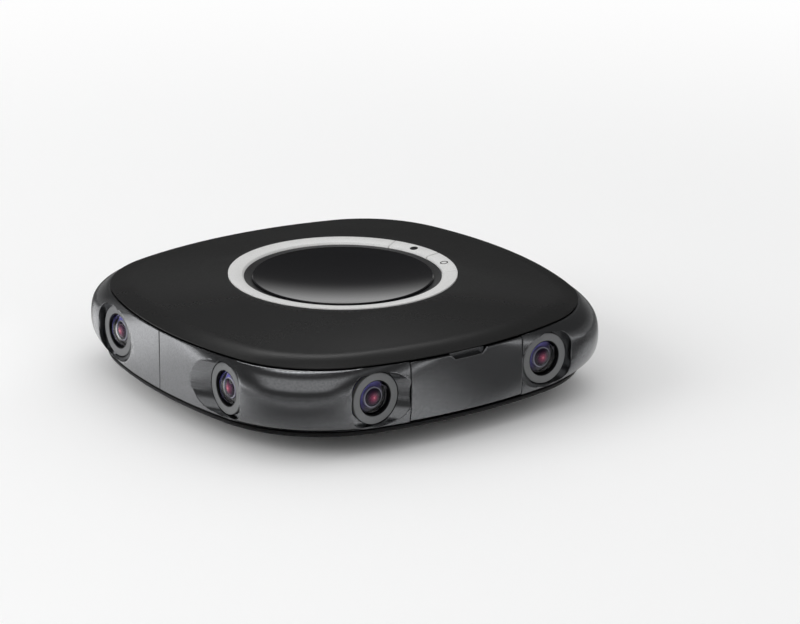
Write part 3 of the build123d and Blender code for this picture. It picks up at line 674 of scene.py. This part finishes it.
@dataclass
class ControlRing:
    """The silver ring, its two buttons and their marks."""

    ring_radius: float = 32.0
    ring_width: float = 4.4
    ring_dip: float = 0.45
    ring_bevel: float = 0.5
    top: float = 30.0
    edge_round: float = 0.08
    edge_segments: int = 2
    record_angle: float = 13.0
    power_angle: float = -17.0
    mark_radius: float = 29.75
    dot_radius: float = 1.15
    mark_line: float = 0.34
    mark_proud: float = 0.03
    mark_steps: int = 48

    def surface(self, radius: float) -> float:
        """Height of the ring's sloping top at a radius, in millimetres."""
        fall = self.ring_dip / (self.ring_width - self.ring_bevel)
        return self.top - fall * (self.ring_radius - radius)

    def mark(self, angle: float, hollow: bool) -> bmesh.types.BMesh:
        """Makes a printed dot or circle, laid on the ring's slope.

        Args:
            angle: Where it lies round the ring, in degrees.
            hollow: True for a circle, False for a dot.

        Returns:
            The mark.
        """
        inner = self.dot_radius - self.mark_line if hollow else 0.0
        low, high = -self.mark_proud, self.mark_proud
        profile = [(inner, low), (self.dot_radius, low), (self.dot_radius, high), (inner, high)]
        form = turned(profile, self.mark_steps)
        slope = math.atan2(self.ring_dip, self.ring_width - self.ring_bevel)
        place = (
            Matrix.Rotation(math.radians(angle), 4, "Z")
            @ Matrix.Translation((self.mark_radius * MM, 0, self.surface(self.mark_radius) * MM))
            @ Matrix.Rotation(-slope, 4, "Y")
        )
        bmesh.ops.transform(form, matrix=place, verts=form.verts)
        return form

    def rounded(self, node: str) -> bmesh.types.BMesh:
        """Copies a ring node and rounds its edges."""
        form = merged_copy(node)
        bmesh.ops.dissolve_limit(
            form, angle_limit=FLAT, verts=form.verts, edges=form.edges, delimit=set()
        )
        soften(form, self.edge_round, self.edge_segments)
        return form

    def build(self, shop: Workshop) -> None:
        """Makes the ring, the buttons and their marks."""
        for node, body in (
            ("trim_ring", Body.HOUSING),
            ("record_button", Body.RECORD),
            ("power_button", Body.POWER),
        ):
            shop.piece(node + "_cap", self.rounded(node), body, "ring_silver", (node,))
        shop.piece("record_mark", self.mark(self.record_angle, False), Body.RECORD, "black_plastic")
        shop.piece("power_mark", self.mark(self.power_angle, True), Body.POWER, "black_plastic")


@dataclass
class CentreWell:
    """The dark dish and the surround between it and the ring."""

    tray: float = 26.0
    dish_radius: float = 25.35
    dish_rim: float = 29.15
    dish_sag: float = 2.0
    rim_round: float = 0.3
    rings: int = 40
    dish_steps: int = 192

    def dish(self) -> bmesh.types.BMesh:
        """Makes the dish with its shallow bowl."""
        reach = self.dish_radius - self.rim_round
        curve = (reach**2 + self.dish_sag**2) / (2 * self.dish_sag)
        bowl = []
        for step in range(self.rings + 1):
            radius = reach * (1 - step / self.rings)
            drop = math.sqrt(curve**2 - radius**2) - (curve - self.dish_sag)
            bowl.append((radius, self.dish_rim - drop))
        profile = [(0, self.tray), (self.dish_radius, self.tray)]
        profile += [(self.dish_radius, self.dish_rim - self.rim_round)]
        return turned(profile + bowl, self.dish_steps)

    def build(self, shop: Workshop) -> None:
        """Makes both pieces."""
        shop.piece("dish_moulding", self.dish(), Body.HOUSING, "dish_gloss", ("centre_dish",))
        shop.piece(
            "surround_moulding",
            merged_copy("ring_surround"),
            Body.HOUSING,
            "surround_dark",
            ("ring_surround",),
        )


@dataclass
class LensSet:
    """The eight lens modules: bezel, domed glass, barrel and inner element."""

    spacing: float = 55.8
    height: float = 15.4
    plane: float = 56.45
    bezel_radius: float = 7.1
    opening: float = 5.0
    bezel_depth: float = 1.2
    opening_bevel: float = 0.12
    liner_wall: float = 0.2
    edge_round: float = 0.15
    dome_radius: float = 4.85
    dome_rise: float = 0.8
    glass_radius: float = 5.4
    glass_edge: float = 0.9
    hollow_radius: float = 3.9
    glass_centre: float = 1.1
    pupil_radius: float = 2.75
    pupil_edge: float = 0.5
    pupil_dome: float = 0.7
    pupil_drop: float = 0.25
    pupil_rise: float = 0.9
    pupil_steps: int = 64
    pupil_runs: int = 10
    dome_runs: int = 16
    hollow_runs: int = 14
    liner_gap: float = 0.01
    liner_fall: float = 0.05
    barrel_gap: float = 0.05
    flange_radius: float = 6.6
    flange_depth: float = 2.6
    tube_radius: float = 5.8
    tube_depth: float = 12.0
    rear_bore: float = 3.9
    rear_depth: float = 10.4
    bore: float = 2.2
    grooves: tuple[float, ...] = (3.2, 3.9)
    groove_slope: float = 0.05
    groove_width: float = 0.2
    groove_depth: float = 0.08
    coating_specular: float = 0.15
    # Where the barrel face's painted reflection starts and ends, across the face
    painted_reflection_ends: tuple[float, float] = (-0.7, 0.8)
    smear_scale: float = 150.0
    smear_roughness: float = 0.03
    glass_ior: float = 1.22
    count: int = 8

    def place(self, number: int) -> Matrix:
        """The matrix that puts a lens made round the Z axis at its station.

        Args:
            number: Which lens, from 1 to 8.

        Returns:
            A matrix whose Z axis points out of the body.
        """
        side, end = divmod(number - 1, 2)
        along = (self.spacing / 2 if end else -self.spacing / 2) * MM
        stand = Matrix.Rotation(math.radians(90), 4, "X")
        return (
            Matrix.Rotation(math.radians(90 * side), 4, "Z")
            @ Matrix.Translation((along, -self.plane * MM, self.height * MM))
            @ stand
        )

    @staticmethod
    def cap(radius: float, low: float, high: float, steps: int) -> list[tuple[float, float]]:
        """Points of a shallow dome from its rim to its top.

        Args:
            radius: The rim's radius.
            low: The rim's height.
            high: The top's height.
            steps: How many runs the arc takes.

        Returns:
            Radius and height of each point.
        """
        rise = high - low
        curve = (radius**2 + rise**2) / (2 * rise)
        points = []
        for step in range(steps + 1):
            r = radius * (1 - step / steps)
            points.append((r, high - curve + math.sqrt(curve**2 - r**2)))
        return points

    def bezel(self) -> bmesh.types.BMesh:
        """Makes the flat bezel with its chamfered opening."""
        profile = [
            (self.opening, -self.bezel_depth),
            (self.bezel_radius, -self.bezel_depth),
            (self.bezel_radius, -self.edge_round),
            (self.bezel_radius - self.edge_round, 0),
            (self.opening + self.opening_bevel, 0),
            (self.opening, -self.opening_bevel),
        ]
        return turned(profile, ROUND)

    def liner(self) -> bmesh.types.BMesh:
        """Makes the black ring that lines the bezel's opening."""
        outer = self.opening - self.liner_gap
        profile = [
            (outer - self.liner_wall, -self.bezel_depth),
            (outer, -self.bezel_depth),
            (outer, -self.opening_bevel),
            (outer - self.liner_wall, -self.opening_bevel - self.liner_fall),
        ]
        return turned(profile, ROUND)

    def glass(self) -> bmesh.types.BMesh:
        """Makes the domed front glass, hollow behind."""
        seat = -self.bezel_depth
        back = seat - self.glass_edge
        under = self.dome_rise - self.glass_centre
        dome = self.cap(self.dome_radius, seat, self.dome_rise, self.dome_runs)
        hollow = self.cap(self.hollow_radius, back, under, self.hollow_runs)
        edge = [(self.glass_radius, back), (self.glass_radius, seat)]
        profile = hollow[::-1] + edge + dome
        return turned(profile, ROUND)

    def inner(self) -> bmesh.types.BMesh:
        """Makes the small inner element that shows as the pupil."""
        seat = -self.bezel_depth - self.glass_edge - self.pupil_drop - self.pupil_edge
        rim = seat + self.pupil_edge + self.pupil_rise
        dome = self.cap(self.pupil_radius, rim, rim + self.pupil_dome, self.pupil_runs)
        return turned([(0, seat), (self.pupil_radius, seat)] + dome, self.pupil_steps)

    def disc_map(self, form: bmesh.types.BMesh) -> None:
        """Lays a face-on UV map: the pupil's rim is half a unit from the centre."""
        layer = form.loops.layers.uv.new("face_on")
        for face in form.faces:
            for loop in face.loops:
                spot = loop.vert.co / (2 * self.pupil_radius * MM)
                loop[layer].uv = (0.5 + spot.x, 0.5 + spot.y)

    def coloured(
        self,
        tree: bpy.types.NodeTree,
        where: bpy.types.NodeSocket,
        stops: tuple[tuple[float, str], ...],
        roughness: float,
    ) -> None:
        """Finishes a coating whose colour runs through a row of stops.

        Args:
            tree: The coating's node tree.
            where: The socket that says how far along the row a point is.
            stops: Place and sRGB hex code of each stop.
            roughness: The coating's roughness.
        """
        ramp = add_node(tree, "ValToRGB", {}, {"Fac": where})
        band = ramp.color_ramp
        while len(band.elements) < len(stops):
            band.elements.new(0.5)
        for element, (spot, code) in zip(band.elements, stops):
            element.position = spot
            element.color = linear(code)
        shader = add_node(
            tree,
            "BsdfPrincipled",
            {},
            {
                "Base Color": ramp.outputs["Color"],
                "Roughness": roughness,
                "Specular IOR Level": self.coating_specular,
            },
        )
        add_node(tree, "OutputMaterial", {}, {"Surface": shader.outputs[0]})

    def pupil_coating_and_highlight(self) -> bpy.types.Material:
        """The inner element's coating: a red heart in deep purple with a painted highlight at its
        centre, and a pale ring at its rim.

        Returns:
            The material.
        """
        material, tree = new_material("magenta_coated_glass_painted_highlight")
        face_on = add_node(tree, "UVMap", {"uv_map": "face_on"}, {}).outputs["UV"]
        centred = add_node(
            tree, "VectorMath", {"operation": "SUBTRACT"}, {0: face_on, 1: (0.5, 0.5, 0)}
        ).outputs["Vector"]
        radius = add_node(tree, "VectorMath", {"operation": "LENGTH"}, {0: centred})
        # The pale pink first stop is a painted highlight at the centre; the other stops are the
        # coating's colours
        stops = (
            (0.0, "#ffc4cf"),
            (0.04, "#d8557a"),
            (0.12, "#98305a"),
            (0.24, "#561f42"),
            (0.36, "#22122c"),
            (0.445, "#150d1a"),
            (0.465, "#c6c4d6"),
            (0.52, "#85829c"),
        )
        self.coloured(tree, radius.outputs["Value"], stops, 0.1)
        return material

    def barrel_painted_reflection(self) -> bpy.types.Material:
        """The barrel's face behind the glass: blackened, with a painted reflection of the coatings,
        violet and brighter to the upper left, grey to the lower right, painted paler than the dark
        metal to stand in for the light inside.

        Returns:
            The material.
        """
        material, tree = new_material("blackened_aluminium_painted_reflection")
        face_on = add_node(tree, "UVMap", {"uv_map": "face_on"}, {}).outputs["UV"]
        split = add_node(tree, "SeparateXYZ", {}, {0: face_on})
        across = add_node(
            tree,
            "Math",
            {"operation": "SUBTRACT"},
            {0: split.outputs["Y"], 1: split.outputs["X"]},
        ).outputs[0]
        # Painted reflection: the colour runs from grey at the lower right to bright violet at the
        # upper left
        low, high = self.painted_reflection_ends
        painted_reflection = add_node(
            tree, "MapRange", {}, {"Value": across, "From Min": low, "From Max": high}
        ).outputs["Result"]
        stops = ((0.0, "#7c7c7e"), (0.35, "#625d70"), (0.6, "#625b94"), (1.0, "#8f8be0"))
        self.coloured(tree, painted_reflection, stops, 0.45)
        return material

    def front_coating(self) -> bpy.types.Material:
        """The front glass: clear, and coated so that it mirrors little, hence its low IOR.

        Returns:
            The material.
        """
        material, tree = new_material("coated_optical_glass")
        place = add_node(tree, "TexCoord", {}, {}).outputs["Object"]
        smear = add_node(tree, "TexNoise", {}, {"Vector": place, "Scale": self.smear_scale})
        rough = add_node(
            tree,
            "MapRange",
            {},
            {"Value": smear.outputs["Fac"], "To Min": 0.0, "To Max": self.smear_roughness},
        ).outputs["Result"]
        shader = add_node(
            tree,
            "BsdfPrincipled",
            {},
            {
                "Base Color": linear(WHITE),
                "Roughness": rough,
                "IOR": self.glass_ior,
                "Transmission Weight": 1.0,
            },
        )
        add_node(tree, "OutputMaterial", {}, {"Surface": shader.outputs[0]})
        return material

    def barrel(self) -> bmesh.types.BMesh:
        """Makes the barrel: a flanged tube with a stepped face behind the glass."""
        seat = -self.bezel_depth
        back = seat - self.glass_edge
        inner_seat = back - self.pupil_drop - self.pupil_edge
        glass_seat = self.glass_radius + self.barrel_gap
        pupil_seat = self.pupil_radius + self.barrel_gap
        profile = [
            (glass_seat, seat),
            (self.flange_radius, seat),
            (self.flange_radius, seat - self.flange_depth),
            (self.tube_radius, seat - self.flange_depth),
            (self.tube_radius, seat - self.tube_depth),
            (self.rear_bore, seat - self.tube_depth),
            (self.rear_bore, seat - self.rear_depth),
            (self.bore, seat - self.rear_depth),
            (self.bore, inner_seat),
            (pupil_seat, inner_seat),
            (pupil_seat, back),
        ]
        for start in self.grooves:
            stop = start + self.groove_width
            profile += [
                (start, back),
                (start + self.groove_slope, back - self.groove_depth),
                (stop - self.groove_slope, back - self.groove_depth),
                (stop, back),
            ]
        profile.append((glass_seat, back))
        return turned(profile, ROUND)

    def build(self, shop: Workshop) -> None:
        """Makes all eight modules."""
        front = self.front_coating()
        heart = self.pupil_coating_and_highlight()
        tube = self.barrel_painted_reflection()
        pupils = bmesh.new()
        for number in range(1, self.count + 1):
            barrel, inner = self.barrel(), self.inner()
            self.disc_map(barrel)
            self.disc_map(inner)
            rows = (
                ("bezel", self.bezel(), "bezel_grey", "lens_bezel", None),
                ("opening_liner", self.liner(), "black_plastic", None, None),
                ("front_glass", self.glass(), "lens_glass", "front_element", front),
                ("barrel", barrel, "black_plastic", "lens_barrel", tube),
            )
            place = self.place(number)
            for name, form, slot, node, material in rows:
                bmesh.ops.transform(form, matrix=place, verts=form.verts)
                nodes = (f"{node}_{number}",) if node else ()
                shop.piece(f"{name}_{number}", form, Body.HOUSING, slot, nodes, material)
            bmesh.ops.transform(inner, matrix=place, verts=inner.verts)
            part = mesh_of("pupil", inner)
            pupils.from_mesh(part)
            bpy.data.meshes.remove(part)
        shop.piece("pupils", pupils, Body.HOUSING, "lens_glass", ("inner_elements",), heart)


@dataclass
class CarriedNodes:
    """The CAD nodes whose shape is right and that only need their finish."""

    def dress(self, shop: Workshop) -> None:
        """Gives each node that still shows the finish of its slot."""
        for row in frame["record"]["subparts"]:
            node = frame["nodes"][row["node"]]
            for holder in node.material_slots:
                holder.material = shop.finish(row["material_slot"])
        LOG.info("%d CAD nodes dressed", len(frame["nodes"]))


@dataclass(frozen=True)
class Card:
    """A soft-edged card for reflections: a pale one is a lamp's glow, a dark one a flag."""

    name: str
    centre: tuple[float, float, float]
    wide: float
    high: float
    level: float
    opacity: float = 1.0
    soft: float = 0.25
    flat: bool = False
    turn: float = 0.0


CARDS = (
    Card("shoulder_glow", (434.0, 752.0, 899.0), 900.0, 240.0, 4.5, soft=0.4),
    Card("lip_glow", (216.0, 320.0, 1189.0), 1000.0, 200.0, 6.0, soft=0.4),
    Card("dish_glow", (671.0, 995.0, 84.0), 700.0, 620.0, 0.9, soft=0.48),
    Card("edge_glow", (-610.0, 930.0, 450.0), 420.0, 300.0, 4.0, soft=0.4),
    Card("front_wall_glow", (-500.0, -420.0, 740.0), 1900.0, 1200.0, 0.62, soft=0.22),
    Card("front_wall_flag", (-490.0, -411.0, 115.0), 1700.0, 300.0, 0.08, 0.95, 0.25),
    Card("horizon_flag", (-330.0, -276.0, 0.5), 1400.0, 460.0, 0.08, 0.95, 0.15, True, -50.0),
    Card("front_floor_flag", (-131.0, -118.0, 0.6), 420.0, 220.0, 0.05, 0.62, 0.15, True, -50.0),
    Card("corner_flag", (-62.0, -66.0, 0.9), 140.0, 90.0, 0.05, 0.65, 0.4, True, -45.0),
    Card("door_flag", (130.0, -130.0, 1.2), 300.0, 150.0, 0.1, 0.96, 0.17, True),
    Card("back_floor_flag", (442.0, 656.0, 0.5), 2600.0, 1450.0, 0.1, 0.9, 0.06, True, -34.0),
    Card("left_floor_flag", (60.0, 200.0, 0.6), 240.0, 300.0, 0.08, 0.9, 0.08, True),
    Card("right_floor_flag", (240.0, 30.0, 0.6), 350.0, 300.0, 0.1, 0.85, 0.15, True),
    Card("left_floor_glow", (-150.0, 73.0, 0.8), 260.0, 96.0, 1.75, 1.0, 0.4, True),
)


@dataclass(frozen=True)
class Lamp:
    """A soft square lamp: where it stands in degrees and metres, its side and its watts."""

    name: str
    azimuth: float
    elevation: float
    reach: float
    size: float
    watts: float


LAMPS = (
    Lamp("overhead", 100.0, 72.0, reach=1.6, size=1.0, watts=2.0),
    Lamp("left_key", -110.0, 28.0, reach=1.5, size=0.9, watts=9.0),
)


@dataclass
class Studio:
    """The floor, the lamps, the cards and the camera."""

    azimuth: float = -34.176
    elevation: float = 19.139
    distance: float = 980.6
    aim_height: float = 15.0
    lens: float = 157.54
    film_width: float = 36.0
    clip: tuple[float, float] = (0.01, 20.0)
    aim_right: float = 0.935
    aim_up: float = 0.168
    floor_half: float = 3000.0
    floor_near: float = 160.0
    floor_far: float = 520.0
    floor_cloud: float = 2.0
    room_level: float = 0.78
    wall_top: float = 18.0
    wall_foot_level: float = 0.3
    ceiling_level: float = 0.08

    def aim(self, azimuth: float, elevation: float) -> Vector:
        """The unit vector from the object towards an azimuth and elevation in degrees."""
        a, e = math.radians(azimuth), math.radians(elevation)
        return Vector((math.sin(a) * math.cos(e), -math.cos(a) * math.cos(e), math.sin(e)))

    def camera(self) -> None:
        """Makes the camera at the photograph's viewpoint."""
        data = bpy.data.cameras.new("viewpoint")
        data.lens = self.lens
        data.sensor_width = self.film_width
        data.clip_start, data.clip_end = self.clip
        made = linked("viewpoint", data)
        back = self.aim(self.azimuth, self.elevation)
        made.rotation_mode = "QUATERNION"
        look = (-back).to_track_quat("-Z", "Y").to_matrix().to_4x4()
        turn = Matrix.Rotation(-math.radians(self.aim_right), 4, "Y")
        lift = Matrix.Rotation(math.radians(self.aim_up), 4, "X")
        made.rotation_quaternion = (look @ turn @ lift).to_quaternion()
        made.location = Vector((0, 0, self.aim_height * MM)) + back * self.distance * MM
        bpy.context.scene.camera = made

    def floor(self) -> None:
        """Lays a plain pale floor that turns to the white of the room away from the object."""
        form = bmesh.new()
        bmesh.ops.create_grid(form, x_segments=1, y_segments=1, size=self.floor_half * MM)
        made = linked("floor", mesh_of("floor", form))
        # Matt laminate: an even pale white that keeps the object's shadow
        material, tree = new_material("matt_white_laminate")
        place = add_node(tree, "TexCoord", {}, {}).outputs["Object"]
        cloud = add_node(
            tree, "TexNoise", {}, {"Vector": place, "Scale": self.floor_cloud}
        ).outputs["Fac"]
        colour = add_node(
            tree,
            "Mix",
            {"data_type": "RGBA"},
            {"Factor": cloud, 6: linear("#f4f4f4"), 7: linear("#f7f7f7")},
        ).outputs[2]
        shader = add_node(
            tree,
            "BsdfPrincipled",
            {},
            {"Base Color": colour, "Roughness": 0.7, "Specular IOR Level": 0.1},
        )
        away = add_node(tree, "VectorMath", {"operation": "LENGTH"}, {0: place}).outputs["Value"]
        far = add_node(
            tree,
            "MapRange",
            {"interpolation_type": "SMOOTHSTEP"},
            {"Value": away, "From Min": self.floor_near * MM, "From Max": self.floor_far * MM},
        ).outputs["Result"]
        seen = {0: far, 1: self.shown(tree)}
        blend = add_node(tree, "Math", {"operation": "MULTIPLY"}, seen).outputs[0]
        white = add_node(tree, "Emission", {}, {"Color": linear(WHITE), "Strength": 1.0})
        mixed = {0: blend, 1: shader.outputs[0], 2: white.outputs[0]}
        both = add_node(tree, "MixShader", {}, mixed)
        add_node(tree, "OutputMaterial", {}, {"Surface": both.outputs[0]})
        made.data.materials.append(material)

    @staticmethod
    def shown(tree: bpy.types.NodeTree) -> bpy.types.NodeSocket:
        """Adds nodes that are 1 for what the camera, a mirror or glass shows.

        Args:
            tree: The node tree that they join.

        Returns:
            The socket that holds the answer.
        """
        path = add_node(tree, "LightPath", {}, {})
        seen = path.outputs["Is Camera Ray"]
        for ray in ("Is Glossy Ray", "Is Transmission Ray"):
            either = {0: seen, 1: path.outputs[ray]}
            seen = add_node(tree, "Math", {"operation": "MAXIMUM"}, either).outputs[0]
        return seen

    def lamp(self, lamp: Lamp) -> None:
        """Adds one lamp, facing the object; the cards stand in for it in reflections.

        Args:
            lamp: Its place, size and power.
        """
        data = bpy.data.lights.new(lamp.name, "AREA")
        data.shape = "SQUARE"
        data.size = lamp.size
        data.energy = lamp.watts
        made = linked(lamp.name, data)
        out = self.aim(lamp.azimuth, lamp.elevation)
        made.location = out * lamp.reach
        made.rotation_euler = (-out).to_track_quat("-Z", "Y").to_euler()
        made.visible_camera = False
        made.visible_glossy = False

    def card(self, card: Card) -> None:
        """Sets up one soft-edged card that only reflections see.

        Args:
            card: Its place, size and level.
        """
        form = bmesh.new()
        bmesh.ops.create_grid(form, x_segments=1, y_segments=1, size=0.5, calc_uvs=False)
        layer = form.loops.layers.uv.new("edge_fade")
        for face in form.faces:
            for loop in face.loops:
                loop[layer].uv = (loop.vert.co.x, loop.vert.co.y)
        bmesh.ops.scale(form, vec=(card.wide * MM, card.high * MM, 1), verts=form.verts)
        if card.flat:
            turn = Matrix.Rotation(math.radians(card.turn), 4, "Z")
        else:
            turn = (-Vector(card.centre)).to_track_quat("-Z", "Y").to_matrix().to_4x4()
        place = Matrix.Translation(Vector(card.centre) * MM) @ turn
        bmesh.ops.transform(form, matrix=place, verts=form.verts)
        made = linked(card.name, mesh_of(card.name, form))
        made.data.materials.append(self.card_cloth(card))
        for ray in ("visible_camera", "visible_diffuse", "visible_shadow", "visible_transmission"):
            setattr(made, ray, False)

    def card_cloth(self, card: Card) -> bpy.types.Material:
        """Makes a card's cloth, which thins out towards its edges.

        Args:
            card: Its level and how soft its edges are.

        Returns:
            The material.
        """
        material, tree = new_material(card.name + "_cloth")
        spot = add_node(tree, "UVMap", {"uv_map": "edge_fade"}, {}).outputs["UV"]
        split = add_node(tree, "SeparateXYZ", {}, {0: spot})
        cover = card.opacity
        for axis in ("X", "Y"):
            off = add_node(tree, "Math", {"operation": "ABSOLUTE"}, {0: split.outputs[axis]})
            fade = add_node(
                tree,
                "MapRange",
                {"interpolation_type": "SMOOTHSTEP"},
                {
                    "Value": off.outputs[0],
                    "From Min": 0.5 - card.soft,
                    "From Max": 0.5,
                    "To Min": 1.0,
                    "To Max": 0.0,
                },
            ).outputs["Result"]
            thinned = {0: fade, 1: cover}
            cover = add_node(tree, "Math", {"operation": "MULTIPLY"}, thinned).outputs[0]
        clear = add_node(tree, "BsdfTransparent", {}, {})
        lit = add_node(tree, "Emission", {}, {"Color": linear(WHITE), "Strength": card.level})
        both = add_node(tree, "MixShader", {}, {0: cover, 1: clear.outputs[0], 2: lit.outputs[0]})
        add_node(tree, "OutputMaterial", {}, {"Surface": both.outputs[0]})
        return material

    def sky(self) -> None:
        """Sets the room's even light: white behind the object, dim in reflections."""
        world = bpy.data.worlds.new("room")
        world.use_nodes = True
        tree = world.node_tree
        tree.nodes.clear()
        path = add_node(tree, "LightPath", {}, {})
        way = add_node(tree, "TexCoord", {}, {}).outputs["Generated"]
        height = add_node(tree, "SeparateXYZ", {}, {0: way}).outputs["Z"]
        wall = add_node(
            tree,
            "MapRange",
            {},
            {
                "Value": height,
                "From Min": 0.0,
                "From Max": math.sin(math.radians(self.wall_top)),
                "To Min": self.wall_foot_level,
                "To Max": self.ceiling_level,
            },
        ).outputs["Result"]
        pale = linear(WHITE)
        plain = add_node(tree, "Background", {}, {"Color": pale, "Strength": self.room_level})
        white = add_node(tree, "Background", {}, {"Color": pale, "Strength": 1.0})
        room = add_node(tree, "Background", {}, {"Color": pale, "Strength": wall})
        behind = add_node(
            tree, "MixShader", {}, {0: self.shown(tree), 1: plain.outputs[0], 2: white.outputs[0]}
        )
        both = add_node(
            tree,
            "MixShader",
            {},
            {0: path.outputs["Is Glossy Ray"], 1: behind.outputs[0], 2: room.outputs[0]},
        )
        add_node(tree, "OutputWorld", {}, {"Surface": both.outputs[0]})
        bpy.context.scene.world = world

    def build(self) -> None:
        """Sets up the whole studio."""
        self.sky()
        self.floor()
        for lamp in LAMPS:
            self.lamp(lamp)
        for card in CARDS:
            self.card(card)
        self.camera()
        bpy.context.scene.view_settings.view_transform = "Standard"


def main() -> None:
    """Builds every sub-assembly in order."""
    logging.basicConfig(level=logging.INFO, format="%(message)s")
    shop = Workshop()
    CarriedNodes().dress(shop)
    Shells().build(shop)
    ControlRing().build(shop)
    CentreWell().build(shop)
    LensSet().build(shop)
    Studio().build()


if __name__ == "__main__":
    main()
